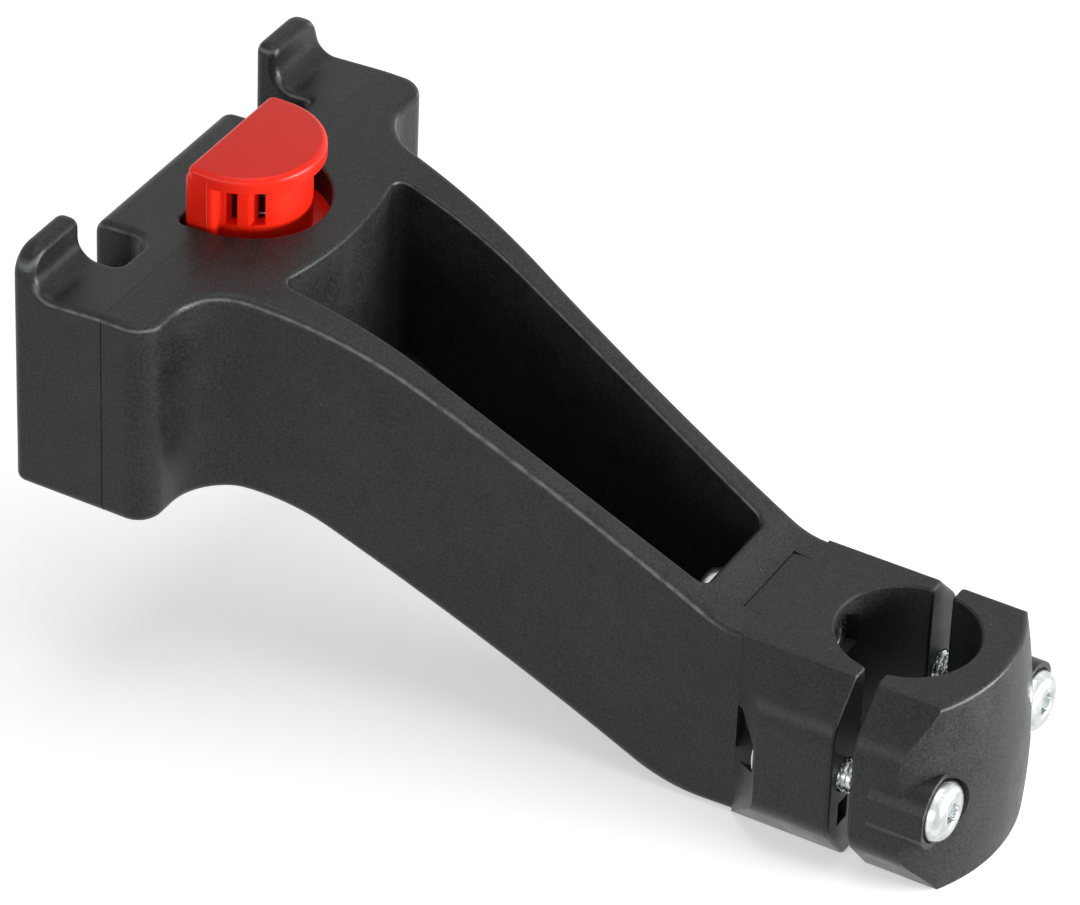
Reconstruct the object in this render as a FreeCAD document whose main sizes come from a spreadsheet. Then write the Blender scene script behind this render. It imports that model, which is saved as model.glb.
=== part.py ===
import FreeCAD, Part
import math
import os
import Sketcher
from FreeCAD import Placement, Rotation, Vector

# Sizes in millimetres. X runs across the mount, Y from the clamp to the hooks, Z up.
# The origin is the middle of the clamp bore.
SIZES = {
    # clamp bore and its two halves
    "bore_radius": 13.0,
    "clamp_height": 40.0,
    "base_face": 1.6,
    "cap_face": 2.1,
    "clamp_edge_round": 1.2,
    "gap_edge_round": 0.9,
    "bore_edge_break": 0.4,
    "clamp_top_half": 16.2,
    "ear_half": 24.2,
    "ear_top_drop": 8.2,
    "ear_low_rise": 9.6,
    "ear_top_round": 7.0,
    "ear_low_round": 6.5,
    "barrel_axis_y": 14.7,
    "barrel_mid_radius": 37.5,
    "barrel_top_radius": 34.0,
    "barrel_low_radius": 36.0,
    "barrel_bulge_radius": 145.0,
    # joint between the clamp base and the arm
    "joint_y": 24.1,
    "tongue_half": 9.4,
    "tongue_depth": 3.6,
    "tongue_clearance": 0.15,
    # arm
    "arm_end_half": 16.5,
    "arm_root_half": 30.7,
    "arm_flare_radius": 470.0,
    "arm_top_start": 28.3,
    "arm_top_end": 109.2,
    "arm_under_start": 37.8,
    "arm_under_end": 112.9,
    "arm_top_blend": 96.0,
    "arm_foot_blend": 15.0,
    "arm_heel_blend": 30.0,
    "arm_sole_blend": 40.0,
    "arm_floor": 3.4,
    "pocket_start": 35.0,
    "pocket_end": 117.3,
    "pocket_crown": 114.8,
    "pocket_start_half": 11.2,
    "pocket_flare": 0.109,
    "pocket_corner": 2.2,
    "pocket_rim_round": 1.0,
    # head with its two hooks
    "head_half": 48.1,
    "head_top": 63.7,
    "head_bottom": 21.3,
    "head_rear": 127.0,
    "head_parting": 136.5,
    "head_front": 155.2,
    "hook_tip": 71.0,
    "hook_inner": 32.3,
    "hook_rear": 150.8,
    "hook_shoulder": 5.2,
    "hook_nose": 2.2,
    "trough_round": 3.8,
    "deck_drop": 1.1,
    "slot_inner": 21.8,
    "slot_rear": 142.7,
    "slot_depth": 14.0,
    "slot_corner": 4.5,
    "slot_outer_corner": 1.6,
    # roundings of the moulding
    "armpit_round": 11.0,
    "rear_corner_round": 5.0,
    "outer_rim_round": 1.6,
    "lower_rim_round": 2.0,
    "crease_round": 30.0,
    "parting_width": 0.3,
    "parting_depth": 0.35,
    "deck_front_round": 3.0,
    "hook_front_round": 1.8,
    # release button and its well
    "button_y": 136.5,
    "button_flat": 4.0,
    "button_radius": 14.3,
    "button_top": 75.0,
    "lip_thickness": 3.0,
    "well_radius": 15.3,
    "well_rim_round": 0.5,
    "well_front_gap": 1.5,
    "well_ledge": 6.0,
    "guide_radius": 16.3,
    "guide_clearance": 0.3,
    "guide_height": 10.0,
    "stem_radius": 11.9,
    "stem_front_half": 14.3,
    "stem_front_depth": 5.6,
    "stem_front_proud": 0.6,
    "button_wall": 2.4,
    "button_roof": 3.0,
    "button_edge_round": 1.2,
    "button_slot_width": 2.2,
    "button_slot_height": 7.1,
    "button_slot_drop": 1.2,
    "button_slot_first": 3.6,
    "button_slot_pitch": 4.1,
    "button_slot_floor": 8.6,
    "skirt_overlap": 2.7,
    # retainer plate under the well
    "plate_half": 24.5,
    "plate_rear": 118.6,
    "plate_front": 146.5,
    "plate_thickness": 2.8,
    "plate_clearance": 0.15,
    "plate_screw_x": 20.2,
    "plate_screw_y": 131.0,
    "spring_back": 3.9,
    "spring_wire": 0.5,
    "spring_radius": 4.2,
    "spring_turns": 8.0,
    "spring_end_gap": 0.05,
    "tower_radius": 6.0,
    "tower_top": 34.0,
    "tower_pin_radius": 3.2,
    "tower_pin_height": 6.0,
    "tower_wall": 2.0,
    "rib_thickness": 1.6,
    "rib_reach": 9.5,
    "rib_height": 7.0,
    # clamp bolts and nuts, M6
    "bolt_x": 18.3,
    "bolt_z": -0.4,
    "bolt_radius": 3.0,
    "bolt_hole": 3.3,
    "bolt_seat": -16.3,
    "bolt_length": 35.0,
    "bolt_tip": 0.8,
    "bolt_head_radius": 5.4,
    "bolt_head_height": 3.4,
    "counterbore": 6.2,
    "boss_radius": 7.3,
    "boss_front": -17.0,
    "boss_side": 25.1,
    "hex_key": 4.0,
    "hex_key_depth": 2.0,
    "nut_flats": 10.0,
    "nut_height": 5.0,
    "nut_seat": 12.6,
    "nut_play": 0.1,
    "thread_gap": 0.05,
    # arm screws
    "arm_screw_high": 12.4,
    "arm_screw_low": -6.0,
    "arm_screw_length": 22.0,
    "arm_nut_seat": 19.2,
    "washer_radius": 6.2,
    "washer_thickness": 1.6,
    "washer_play": 0.2,
    "arm_head_radius": 5.2,
    "arm_head_height": 4.0,
    # retainer screws, 3 mm self-tapping
    "small_screw_radius": 1.5,
    "small_screw_length": 12.0,
    "small_head_radius": 2.8,
}

WORKED_OUT = {}

doc = FreeCAD.newDocument("BagMount")
sheet = doc.addObject("Spreadsheet::Sheet", "Sizes")


class Size:
    """A size that keeps its number together with the sheet expression it comes from."""

    def __init__(self, value, text):
        self.value = value
        self.text = text

    def __add__(self, other):
        return Size(self.value + number(other), f"({self.text} + {words(other)})")

    def __radd__(self, other):
        return Size(number(other) + self.value, f"({words(other)} + {self.text})")

    def __sub__(self, other):
        return Size(self.value - number(other), f"({self.text} - {words(other)})")

    def __rsub__(self, other):
        return Size(number(other) - self.value, f"({words(other)} - {self.text})")

    def __mul__(self, other):
        return Size(self.value * number(other), f"({self.text} * {words(other)})")

    __rmul__ = __mul__

    def __truediv__(self, other):
        return Size(self.value / number(other), f"({self.text} / {words(other)})")

    def __neg__(self):
        return self * -1


def number(value):
    return value.value if isinstance(value, Size) else value


def words(value):
    return value.text if isinstance(value, Size) else repr(value)


def size(name):
    return Size(SIZES[name], f"Sizes.{name}")


def square_root(value):
    """Square root of a size."""
    return Size(math.sqrt(number(value)), f"sqrt({words(value)})")


def noted(name, value):
    """Writes a worked-out size to its own cell and gives the short name back."""
    row = len(SIZES) + 2 + len(WORKED_OUT)
    WORKED_OUT[name] = number(value)
    sheet.set(f"A{row}", name.replace("_", " "))
    sheet.set(f"B{row}", "=" + words(value).replace("Sizes.", ""))
    sheet.setAlias(f"B{row}", name)
    return worked_out(name)


def worked_out(name):
    return Size(WORKED_OUT[name], f"Sizes.{name}")


def bind(item, path, value):
    if isinstance(value, Size):
        item.setExpression(path, value.text)


def fill_sheet():
    for row, (name, value) in enumerate(SIZES.items(), 1):
        sheet.set(f"A{row}", name.replace("_", " "))
        sheet.set(f"B{row}", str(value))
        sheet.setAlias(f"B{row}", name)
    doc.recompute()


# Drawing helpers


def new_body(name):
    return doc.addObject("PartDesign::Body", name)


def new_sketch(body, name, role, outlines, offset=0, shift=0):
    """Closed outlines on an origin plane of the body, moved along its normal by offset."""
    sketch = body.newObject("Sketcher::SketchObject", name)
    plane = [item for item in body.Origin.OriginFeatures if item.Role == role][0]
    sketch.AttachmentSupport = (plane, "")
    sketch.MapMode = "FlatFace"
    sketch.AttachmentOffset = Placement(Vector(number(shift), 0, number(offset)), Rotation())
    bind(sketch, "AttachmentOffset.Base.z", offset)
    bind(sketch, "AttachmentOffset.Base.x", shift)
    for outline in outlines:
        if len(outline) == 1:
            draw_circle(sketch, *outline[0])
        else:
            draw_outline(sketch, outline)
    return sketch


def draw_circle(sketch, x, y, radius):
    centre = Vector(number(x), number(y), 0)
    index = sketch.addGeometry(Part.Circle(centre, Vector(0, 0, 1), number(radius)))
    pin_point(sketch, index, 3, x, y)
    pin_radius(sketch, index, radius)


def draw_outline(sketch, corners):
    """Corners are (x, y), or (x, y, r) when the edge to the next corner is an arc.

    A positive r turns left on the way round, a negative one turns right."""
    first = sketch.GeometryCount
    count = len(corners)
    ends = []
    for index, corner in enumerate(corners):
        start = Vector(number(corner[0]), number(corner[1]), 0)
        after = corners[(index + 1) % count]
        stop = Vector(number(after[0]), number(after[1]), 0)
        if len(corner) == 2:
            sketch.addGeometry(Part.LineSegment(start, stop))
            ends.append((1, 2))
        else:
            sketch.addGeometry(arc_between(start, stop, number(corner[2])))
            ends.append((1, 2) if number(corner[2]) > 0 else (2, 1))
    for index, corner in enumerate(corners):
        after = (index + 1) % count
        link = Sketcher.Constraint("Coincident", first + index, ends[index][1], first + after, ends[after][0])
        sketch.addConstraint(link)
        pin_point(sketch, first + index, ends[index][0], corner[0], corner[1])
        if len(corner) == 3:
            pin_radius(sketch, first + index, corner[2] if number(corner[2]) > 0 else -corner[2])


def arc_between(start, stop, radius):
    chord = stop - start
    half = chord.Length / 2
    rise = math.sqrt(max(radius * radius - half * half, 0.0))
    left = Vector(-chord.y, chord.x, 0).normalize()
    centre = (start + stop) / 2 + left * math.copysign(rise, radius)
    circle = Part.Circle(centre, Vector(0, 0, 1), abs(radius))
    begin = math.atan2(start.y - centre.y, start.x - centre.x)
    finish = math.atan2(stop.y - centre.y, stop.x - centre.x)
    if radius < 0:
        begin, finish = finish, begin
    return Part.ArcOfCircle(circle, begin, finish)


def pin_point(sketch, index, position, x, y):
    for kind, value in (("DistanceX", x), ("DistanceY", y)):
        at = sketch.addConstraint(Sketcher.Constraint(kind, -1, 1, index, position, number(value)))
        bind(sketch, f"Constraints[{at}]", value)


def pin_radius(sketch, index, radius):
    at = sketch.addConstraint(Sketcher.Constraint("Radius", index, number(radius)))
    bind(sketch, f"Constraints[{at}]", radius)


def mirrored(outline):
    """The outline on the other side of the vertical sketch axis, run the other way round."""
    flipped = []
    count = len(outline)
    for index in range(count):
        corner = outline[-index % count]
        before = outline[(-index - 1) % count]
        flipped.append((-corner[0], corner[1]) + tuple(before[2:]))
    return flipped


def rectangle(x0, y0, x1, y1):
    return [(x0, y0), (x1, y0), (x1, y1), (x0, y1)]


def rounded(x0, y0, x1, y1, r):
    return [(x0 + r, y0), (x1 - r, y0, r), (x1, y0 + r), (x1, y1 - r, r),
            (x1 - r, y1), (x0 + r, y1, r), (x0, y1 - r), (x0, y0 + r, r)]


def tombstone(radius, centre, flat, corner):
    """Half round towards the clamp, straight sides and a flat front with small corners."""
    return [(radius, centre), (radius, flat - corner, corner), (radius - corner, flat),
            (corner - radius, flat, corner), (-radius, flat - corner), (-radius, centre, radius),
            (0, centre - radius, radius)]


def hexagon(x, y, flats, pointing_sideways=True):
    reach = flats * 0.57735
    half = flats / 2
    if pointing_sideways:
        return [(x + reach, y), (x + reach / 2, y + half), (x - reach / 2, y + half),
                (x - reach, y), (x - reach / 2, y - half), (x + reach / 2, y - half)]
    return [(x, y + reach), (x - half, y + reach / 2), (x - half, y - reach / 2),
            (x, y - reach), (x + half, y - reach / 2), (x + half, y + reach / 2)]


# Feature helpers


def extrude(body, kind, name, sketch, length=None, both=False, back=False, taper=0):
    feature = body.newObject(f"PartDesign::{kind}", name)
    feature.Profile = sketch
    feature.SideType = "Symmetric" if both else "One side"
    feature.Reversed = back
    if length is None:
        feature.Type = "ThroughAll"
    else:
        feature.Length = number(length)
        bind(feature, "Length", length)
    if taper:
        feature.TaperAngle = taper
    sketch.Visibility = False
    return checked(feature)


def turn(body, kind, name, sketch):
    feature = body.newObject(f"PartDesign::{kind}", name)
    feature.Profile = sketch
    feature.ReferenceAxis = (sketch, ["V_Axis"])
    feature.Angle = 360
    return checked(feature)


def checked(feature):
    doc.recompute()
    if "Invalid" in feature.State or feature.Shape.isNull() or not feature.Shape.isValid():
        raise RuntimeError(f"{feature.Name} failed: {feature.State}")
    return feature


def find_edges(shape, test):
    return [f"Edge{index}" for index, edge in enumerate(shape.Edges, 1) if test(edge)]


def soften(body, kind, name, amount, test):
    """Fillet or chamfer on the edges of the body's last shape that pass the test."""
    base = body.Tip
    names = find_edges(base.Shape, test)
    if not names:
        raise RuntimeError(f"{name}: no edge found")
    feature = body.newObject(f"PartDesign::{kind}", name)
    feature.Base = (base, names)
    path = "Radius" if kind == "Fillet" else "Size"
    setattr(feature, path, number(amount))
    bind(feature, path, amount)
    return checked(feature)


def near(a, b, reach=0.02):
    return abs(a - b) < reach


def runs_along(edge, axis):
    box = edge.BoundBox
    spans = (box.XLength, box.YLength, box.ZLength)
    return all(spans[other] < 0.01 for other in range(3) if other != axis) and spans[axis] > 0.1


def place(body, x, y, z, rotation=None):
    body.Placement = Placement(Vector(number(x), number(y), number(z)), rotation or Rotation())
    for axis, value in (("x", x), ("y", y), ("z", z)):
        bind(body, f"Placement.Base.{axis}", value)


# Arm and head, one moulding


def arm_frame():
    body = new_body("arm_frame")
    add_arm(body)
    add_head(body)
    round_outside(body)
    cut_button_well(body)
    cut_retainer_seat(body)
    cut_arm_pocket(body)
    cut_joint(body)
    cut_parting_line(body)
    return body


def add_arm(body):
    """The plan view as a tall prism with its armpits rounded, then cut to the side view."""
    top = size("clamp_height") / 2
    head_top = size("head_top")
    joint = size("joint_y")
    rear = size("head_rear")
    parting = size("head_parting")
    half = size("head_half")
    flare = size("arm_flare_radius")
    right = [(size("arm_end_half"), joint, -flare), (size("arm_root_half"), rear), (half, rear), (half, parting)]
    left = [(-half, parting), (-half, rear), (-size("arm_root_half"), rear, -flare), (-size("arm_end_half"), joint)]
    sketch = new_sketch(body, "arm_plan", "XY_Plane", [right + left], offset=-top)
    extrude(body, "Pad", "arm_prism", sketch, top + head_top)
    soften(body, "Fillet", "armpit_round", size("armpit_round"), upright("arm_root_half", "head_rear"))
    soften(body, "Fillet", "rear_corner_round", size("rear_corner_round"), upright("head_half", "head_rear"))
    sketch = new_sketch(body, "arm_side", "YZ_Plane", [side_above(joint, top, head_top), side_below(joint, -top)])
    extrude(body, "Pocket", "arm_shape", sketch, both=True)


def upright(half_name, y_name):
    """Test for an upright edge at this half width and Y."""
    return lambda edge: (runs_along(edge, 2) and near(abs(edge.BoundBox.XMin), SIZES[half_name])
                         and near(edge.BoundBox.YMin, SIZES[y_name]))


def side_above(joint, top, head_top):
    """Outline of what is cut off above the arm, up to the flat top of the head."""
    start = size("arm_top_start")
    end = size("arm_top_end")
    slope = noted("arm_top_slope", (head_top - top) / (end - start))
    foot = blend_ends("arm_foot", start, top, slope, size("arm_foot_blend"))
    crown = blend_ends("arm_crown", end, head_top, slope, size("arm_top_blend"))
    stop = size("head_parting") + 5
    lift = head_top + 30
    return [(joint - 5, top), (*foot["level_before"], size("arm_foot_blend")), foot["slope_after"],
            (*crown["slope_before"], -size("arm_top_blend")), crown["level_after"], (stop, head_top),
            (stop, lift), (joint - 5, lift)]


def side_below(joint, under):
    """Outline of what is cut off below the arm, up to the underside of the head."""
    bottom = size("head_bottom")
    start = size("arm_under_start")
    end = size("arm_under_end")
    slope = noted("arm_under_slope", (bottom - under) / (end - start))
    heel = blend_ends("arm_heel", start, under, slope, size("arm_heel_blend"))
    sole = blend_ends("arm_sole", end, bottom, slope, size("arm_sole_blend"))
    stop = size("head_parting") + 5
    return [(*heel["level_before"], size("arm_heel_blend")), heel["slope_after"],
            (*sole["slope_before"], -size("arm_sole_blend")), sole["level_after"], (stop, bottom),
            (stop, under - 10), (heel["level_before"][0], under - 10)]


def blend_ends(name, y, z, slope, radius):
    """Points where an arc of this radius meets the level and the sloping line of a corner at y, z."""
    stretch = noted(name + "_stretch", square_root(1 + slope * slope))
    reach = noted(name + "_reach", radius * (stretch - 1) / slope)
    run = noted(name + "_run", reach / stretch)
    rise = noted(name + "_rise", run * slope)
    return {"level_before": (y - reach, z), "slope_after": (y + run, z + rise),
            "slope_before": (y - run, z - rise), "level_after": (y + reach, z)}


def add_head(body):
    half = size("head_half")
    top = size("head_top")
    bottom = size("head_bottom")
    parting = size("head_parting")
    sketch = new_sketch(body, "head_outline", "XZ_Plane", [rectangle(-half, bottom, half, top)], offset=-parting)
    extrude(body, "Pad", "head_front_half", sketch, size("head_front") - parting, back=True)
    end = size("head_front") + 5
    slope = noted("deck_slope", size("deck_drop") / (size("head_front") - parting))
    crease = blend_ends("deck_crease", parting, top, slope, size("crease_round"))
    begin = crease["level_before"]
    finish = (crease["slope_after"][0], 2 * top - crease["slope_after"][1])
    deck = [(*begin, -size("crease_round")), finish, (end, top - slope * (end - parting)), (end, top + 5),
            (begin[0], top + 5)]
    sketch = new_sketch(body, "deck_side", "YZ_Plane", [deck])
    extrude(body, "Pocket", "deck_slope", sketch, both=True)
    add_hooks(body)
    cut_hook_slots(body)
    soften(body, "Fillet", "trough_round", size("trough_round"), lambda edge: runs_along(edge, 0)
           and near(edge.BoundBox.YMin, SIZES["hook_rear"]) and edge.BoundBox.ZMin < SIZES["head_top"])


def add_hooks(body):
    half = size("head_half")
    tip = size("hook_tip")
    shoulder = size("hook_shoulder")
    inner = size("hook_inner")
    nose = size("hook_nose")
    root = size("head_top") - 6
    hook = [(half, root), (half, tip - shoulder, shoulder), (half - shoulder, tip), (inner + nose, tip, nose),
            (inner, tip - nose), (inner, root)]
    sketch = new_sketch(body, "hook_outline", "XZ_Plane", [hook, mirrored(hook)], offset=-size("hook_rear"))
    extrude(body, "Pad", "hooks", sketch, size("head_front") - size("hook_rear"), back=True)


def cut_hook_slots(body):
    inner = size("hook_inner")
    corner = size("slot_corner")
    small = size("slot_outer_corner")
    near_side = size("slot_inner")
    rear = size("slot_rear")
    front = size("head_front") + 5
    slot = [(inner, rear + small), (inner, front), (near_side, front), (near_side, rear + corner, corner),
            (near_side + corner, rear), (inner - small, rear, small)]
    lift = size("hook_tip") + 2
    sketch = new_sketch(body, "slot_plan", "XY_Plane", [slot, mirrored(slot)], offset=lift)
    extrude(body, "Pocket", "hook_slots", sketch, lift - size("head_top") + size("slot_depth"))


def round_outside(body):
    """Rims that run on round the corners of the head."""
    rear = SIZES["head_rear"]
    front = SIZES["head_front"]
    top = SIZES["head_top"]
    low = SIZES["head_bottom"]

    def crossing(y, lowest, highest):
        return lambda edge: (runs_along(edge, 0) and near(edge.BoundBox.YMin, y)
                             and lowest < edge.BoundBox.ZMin < highest)

    soften(body, "Fillet", "deck_front_round", size("deck_front_round"), crossing(front, top - 3, top))
    soften(body, "Fillet", "upper_rim", size("outer_rim_round"), crossing(rear, top - 2, top))
    soften(body, "Fillet", "hook_front_rim", size("hook_front_round"), crossing(front, top + 2, top + 20))
    soften(body, "Fillet", "lower_rim", size("lower_rim_round"), crossing(rear, low - 1, low + 1))


def cut_parting_line(body):
    """Fine groove round the head where the two halves of the mould met."""
    inset = size("parting_depth")
    width = size("parting_width")
    half = size("head_half")
    low = size("head_bottom")
    high = size("head_top")
    outside = rectangle(-half - 5, low - 5, half + 5, high + 5)
    inside = rounded(inset - half, low + inset, half - inset, high - inset, size("outer_rim_round"))
    sketch = new_sketch(body, "parting_plan", "XZ_Plane", [outside, inside], offset=width / 2 - size("head_parting"))
    extrude(body, "Pocket", "parting_line", sketch, width)


def cut_button_well(body):
    """Open mouth, a wider guide below it whose roof stops the skirt, and a soft rim."""
    centre = size("button_y")
    flat = centre + size("button_flat")
    start = size("head_bottom") - 5
    mouth = tombstone(size("well_radius"), centre, flat + size("well_front_gap"), 2.0)
    sketch = new_sketch(body, "well_plan", "XY_Plane", [mouth], offset=start)
    extrude(body, "Pocket", "well_mouth", sketch, back=True)
    guide = tombstone(size("guide_radius") + size("guide_clearance"), centre, flat + size("skirt_overlap")
                      + size("guide_clearance"), 2.5)
    sketch = new_sketch(body, "guide_plan", "XY_Plane", [guide], offset=start)
    ledge = size("head_top") - size("well_ledge")
    extrude(body, "Pocket", "well_guide", sketch, ledge - start, back=True)
    rear = SIZES["button_y"] - SIZES["well_radius"]
    soften(body, "Fillet", "well_rim", size("well_rim_round"), lambda edge: near(edge.BoundBox.YMin, rear, 0.1)
           and edge.BoundBox.ZMin > SIZES["head_top"] - 3 and edge.BoundBox.XLength > 5)


def cut_retainer_seat(body):
    start = size("head_bottom") - 5
    plate = rounded(-size("plate_half"), size("plate_rear"), size("plate_half"), size("plate_front"), 4.0)
    sketch = new_sketch(body, "plate_seat_plan", "XY_Plane", [plate], offset=start)
    extrude(body, "Pocket", "plate_seat", sketch, size("plate_thickness") + 5, back=True)
    radius = size("small_screw_radius") + size("thread_gap")
    holes = [[(side * size("plate_screw_x"), size("plate_screw_y"), radius)] for side in (-1, 1)]
    sketch = new_sketch(body, "pilot_plan", "XY_Plane", holes, offset=start)
    extrude(body, "Pocket", "plate_pilots", sketch, size("small_screw_length") + 6.5, back=True)


def cut_arm_pocket(body):
    """Open pocket in the arm: a core with rounded corners and a floor that runs with the underside."""
    tool = new_body("pocket_core")
    start = size("pocket_start")
    end = size("pocket_end")
    narrow = size("pocket_start_half")
    wide = noted("pocket_end_half", narrow + size("pocket_flare") * (end - start))
    sag = end - size("pocket_crown")
    bow = noted("pocket_crown_radius", (wide * wide + sag * sag) / (2 * sag))
    plan = [(-narrow, start), (narrow, start), (wide, end, -bow), (-wide, end)]
    bottom = -size("clamp_height") / 2
    sketch = new_sketch(tool, "pocket_plan", "XY_Plane", [plan], offset=bottom)
    extrude(tool, "Pad", "pocket_prism", sketch, size("clamp_height") / 2 + size("head_top") + 10)
    soften(tool, "Fillet", "pocket_corners", size("pocket_corner"), lambda edge: runs_along(edge, 2))
    floor = size("arm_floor")
    shift = noted("floor_shift", floor * (worked_out("arm_heel_stretch") - 1) / worked_out("arm_under_slope"))
    begin = size("arm_under_start") - shift
    stop = size("arm_under_end") - shift
    low = bottom + floor
    high = size("head_bottom") + floor
    below = [(start - 10, low), (start - 10, low - 30), (end + 20, low - 30), (end + 20, high), (stop, high),
             (begin, low)]
    sketch = new_sketch(tool, "pocket_floor_side", "YZ_Plane", [below])
    extrude(tool, "Pocket", "pocket_floor", sketch, both=True)
    cut = body.newObject("PartDesign::Boolean", "arm_pocket")
    cut.setObjects([tool])
    cut.Type = "Cut"
    checked(cut)
    soften(body, "Fillet", "pocket_rim", size("pocket_rim_round"), on_pocket_rim)


def on_pocket_rim(edge):
    """Straight upper edges of the arm pocket; the rest of its rim runs on from them."""
    box = edge.BoundBox
    across = sorted((abs(box.XMin), abs(box.XMax)))
    beside = across[0] > SIZES["pocket_start_half"] - 1 and across[1] < WORKED_OUT["pocket_end_half"] + 1
    return beside and box.YLength > 30 and box.ZMin > SIZES["clamp_height"] / 2 - 2


def arm_screw_levels():
    return size("arm_screw_high"), size("arm_screw_low")


def cut_joint(body):
    joint = size("joint_y")
    play = size("tongue_clearance")
    half = size("tongue_half") + play
    groove = rectangle(-half, joint - 2, half, joint + size("tongue_depth") + play)
    sketch = new_sketch(body, "groove_plan", "XY_Plane", [groove])
    extrude(body, "Pocket", "tongue_groove", sketch, both=True)
    holes = [[(0, level, size("bolt_hole"))] for level in arm_screw_levels()]
    sketch = new_sketch(body, "screw_hole_plan", "XZ_Plane", holes, offset=-joint)
    extrude(body, "Pocket", "arm_screw_holes", sketch, size("pocket_start") - joint + 5)


# Clamp halves


def clamp_outline():
    top = size("clamp_height") / 2
    half = size("clamp_top_half")
    ear = size("ear_half")
    right = [(half, -top), (ear, size("ear_low_rise") - top), (ear, top - size("ear_top_drop")), (half, top)]
    left = [(-half, top), (-ear, top - size("ear_top_drop")), (-ear, size("ear_low_rise") - top), (-half, -top)]
    return right + left


def round_ears(body):
    top = SIZES["clamp_height"] / 2
    for name, z, radius in (("ear_top_round", top - SIZES["ear_top_drop"], size("ear_top_round")),
                            ("ear_low_round", SIZES["ear_low_rise"] - top, size("ear_low_round"))):
        soften(body, "Fillet", name + "_" + body.Name, radius, lambda edge: runs_along(edge, 1)
               and near(edge.BoundBox.ZMin, z) and near(abs(edge.BoundBox.XMin), SIZES["ear_half"]))


def cut_bore(body):
    sketch = new_sketch(body, "bore_plan_" + body.Name, "XY_Plane", [[(0, 0, size("bore_radius"))]])
    extrude(body, "Pocket", "bore_" + body.Name, sketch, both=True)


def cut_bolt_holes(body):
    holes = [[(side * size("bolt_x"), size("bolt_z"), size("bolt_hole"))] for side in (-1, 1)]
    sketch = new_sketch(body, "bolt_hole_plan_" + body.Name, "XZ_Plane", holes)
    extrude(body, "Pocket", "bolt_holes_" + body.Name, sketch, both=True)


def clamp_base():
    body = new_body("clamp_base")
    face = size("base_face")
    joint = size("joint_y")
    sketch = new_sketch(body, "base_outline", "XZ_Plane", [clamp_outline()], offset=-face)
    extrude(body, "Pad", "base_block", sketch, joint - face, back=True)
    round_ears(body)
    reach = size("ear_half") + 3
    end = size("arm_end_half")
    cheek = [(end, joint), (reach, joint - (reach - end)), (reach, joint + 3), (end, joint + 3)]
    sketch = new_sketch(body, "cheek_plan", "XY_Plane", [cheek, mirrored(cheek)])
    extrude(body, "Pocket", "cheeks", sketch, both=True)
    cut_bore(body)
    soften(body, "Fillet", "base_edges", size("clamp_edge_round"), on_clamp_rim)
    soften(body, "Fillet", "base_gap_edges", size("gap_edge_round"), lambda edge: on_gap_outline(edge, number(face)))
    soften(body, "Chamfer", "base_bore_break", size("bore_edge_break"), on_bore_rim)
    top = size("clamp_height") / 2
    tongue = rectangle(-size("tongue_half"), joint - 1, size("tongue_half"), joint + size("tongue_depth"))
    sketch = new_sketch(body, "tongue_plan", "XY_Plane", [tongue], offset=-top)
    extrude(body, "Pad", "tongue", sketch, size("clamp_height"))
    cut_bolt_holes(body)
    flats = size("nut_flats") + 2 * size("nut_play")
    traps = [hexagon(side * size("bolt_x"), size("bolt_z"), flats, False) for side in (-1, 1)]
    sketch = new_sketch(body, "nut_trap_plan", "XZ_Plane", traps, offset=-size("nut_seat"))
    extrude(body, "Pocket", "nut_traps", sketch, joint - size("nut_seat") + 3)
    traps = [hexagon(0, level, flats, False) for level in arm_screw_levels()]
    sketch = new_sketch(body, "arm_nut_trap_plan", "XZ_Plane", traps)
    extrude(body, "Pocket", "arm_nut_traps", sketch, size("arm_nut_seat"))
    holes = [[(0, level, size("bolt_hole"))] for level in arm_screw_levels()]
    sketch = new_sketch(body, "base_screw_hole_plan", "XZ_Plane", holes)
    extrude(body, "Pocket", "base_screw_holes", sketch, joint + 10)
    cores = [rectangle(side * size("bolt_x") - 1.8, size("bolt_z") - 10.5, side * size("bolt_x") + 1.8,
                       size("bolt_z") - 5.5) for side in (-1, 1)]
    sketch = new_sketch(body, "ear_core_plan", "XZ_Plane", cores)
    extrude(body, "Pocket", "ear_cores", sketch, face + 5)
    return body


def on_clamp_rim(edge):
    """Upper and lower outside edges of a clamp half, apart from the ones at the joint and the bore."""
    box = edge.BoundBox
    top = SIZES["clamp_height"] / 2
    level = near(abs(box.ZMin), top) and box.ZLength < 0.01
    inside_bore = math.hypot(max(abs(box.XMin), abs(box.XMax)), max(abs(box.YMin), abs(box.YMax))) < (
        SIZES["bore_radius"] + 1.0)
    return level and not inside_bore and runs_along(edge, 1)


def on_gap_outline(edge, level):
    """Outer edges of the flat face that looks across the gap at Y = level."""
    box = edge.BoundBox
    reach = math.hypot(max(abs(box.XMin), abs(box.XMax)), max(abs(box.ZMin), abs(box.ZMax)))
    in_face = near(box.YMin, level) and box.YLength < 0.01
    return in_face and reach > SIZES["bore_radius"] + 6 and not runs_along(edge, 2) or (
        in_face and runs_along(edge, 2) and near(abs(box.XMin), SIZES["ear_half"]))


def on_bore_rim(edge):
    """Upper and lower rims of the bore."""
    box = edge.BoundBox
    level = near(abs(box.ZMin), SIZES["clamp_height"] / 2) and box.ZLength < 0.01
    return level and near(max(abs(box.YMin), abs(box.YMax)), SIZES["bore_radius"], 0.1)


def on_crest(edge):
    """Upper and lower edges of the barrel front of the cap."""
    box = edge.BoundBox
    level = near(abs(box.ZMin), SIZES["clamp_height"] / 2) and box.ZLength < 0.01
    return level and box.YMax < -SIZES["bore_radius"] and box.XLength > 5


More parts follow.
